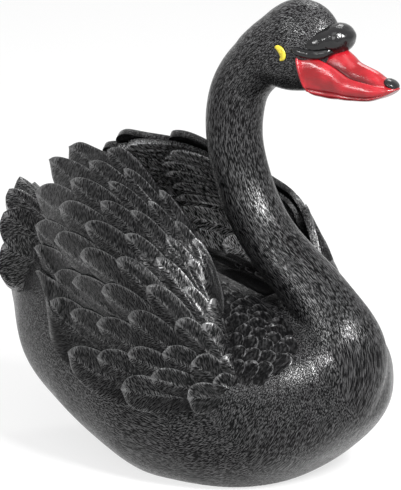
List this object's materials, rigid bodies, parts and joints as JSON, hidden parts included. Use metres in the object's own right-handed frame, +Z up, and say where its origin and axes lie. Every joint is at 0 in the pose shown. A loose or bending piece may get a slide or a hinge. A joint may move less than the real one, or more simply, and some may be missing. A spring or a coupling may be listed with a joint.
{
  "type": "swan figurine",
  "caption": "Swan ornament with an arched neck, raised hollow-backed wings, fanned tail and carved feathers, moulded in one piece with a flat base.",
  "frame": {"origin": "centre of the flat base, on the surface it stands on", "axes": "+X towards the breast and bill, +Y towards the bird's left wing, +Z up"},
  "size_m": [0.3592, 0.209, 0.3601],
  "materials": {
    "swan": "semi-gloss black paint over a moulded body; bill painted glossy red, eyes yellow"
  },
  "bodies": {
    "root": {"swan": "swan"}
  },
  "joints": []
}
